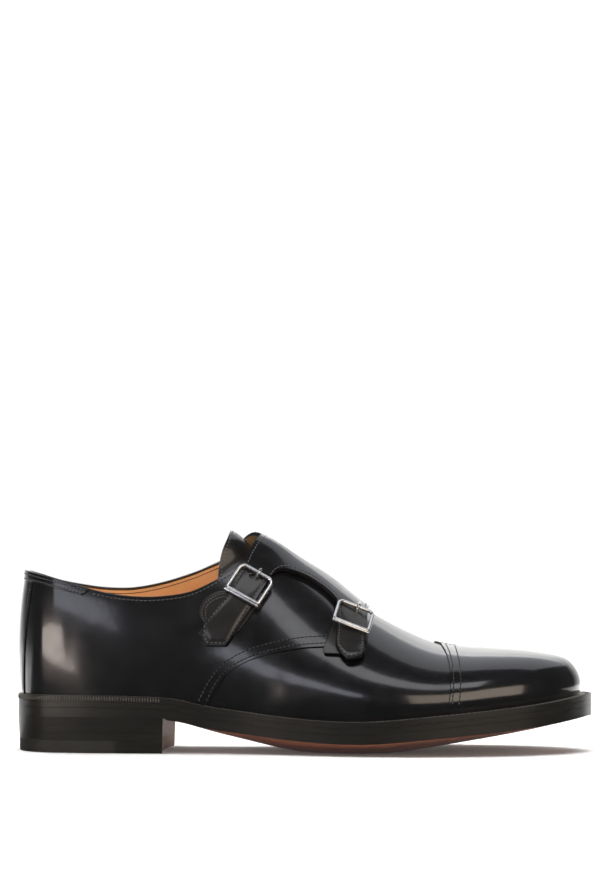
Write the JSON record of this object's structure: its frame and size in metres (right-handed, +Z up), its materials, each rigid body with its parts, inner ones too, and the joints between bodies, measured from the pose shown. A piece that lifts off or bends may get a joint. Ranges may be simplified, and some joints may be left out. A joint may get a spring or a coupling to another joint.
{
  "type": "monk strap shoe",
  "caption": "Right-foot leather monk strap shoe with buckled straps on the outer side, straight toe cap, welted leather sole and stacked heel.",
  "frame": {"origin": "The middle of the heel's flat ground face, on the floor.", "axes": "+X runs along the shoe towards the toe, +Y towards the inner (medial) side of the foot, +Z up."},
  "size_m": [0.309, 0.1039, 0.1171],
  "materials": {
    "calf_leather": "black box calf, polished",
    "lining_leather": "tan vegetable lining, matt",
    "sole_leather": "oak-bark bottom, stained red-brown",
    "sole_edge": "edge ink, burnished",
    "heel_rubber": "black heel top piece, satin",
    "buckle_steel": "polished and plated"
  },
  "bodies": {
    "root": {"outsole": "sole_leather", "midsole": "sole_edge", "welt": "sole_edge", "insole": "lining_leather", "top_piece": "heel_rubber", "heel_lift_1": "sole_edge", "heel_lift_2": "sole_edge", "heel_lift_3": "sole_edge", "upper": "calf_leather", "tongue": "calf_leather", "toe_cap": "calf_leather", "strap_panel": "calf_leather", "buckle_tab_back": "calf_leather", "buckle_tab_front": "calf_leather", "buckle_frame_back": "buckle_steel", "buckle_frame_front": "buckle_steel", "prong_back": "buckle_steel", "prong_front": "buckle_steel"}
  },
  "joints": []
}
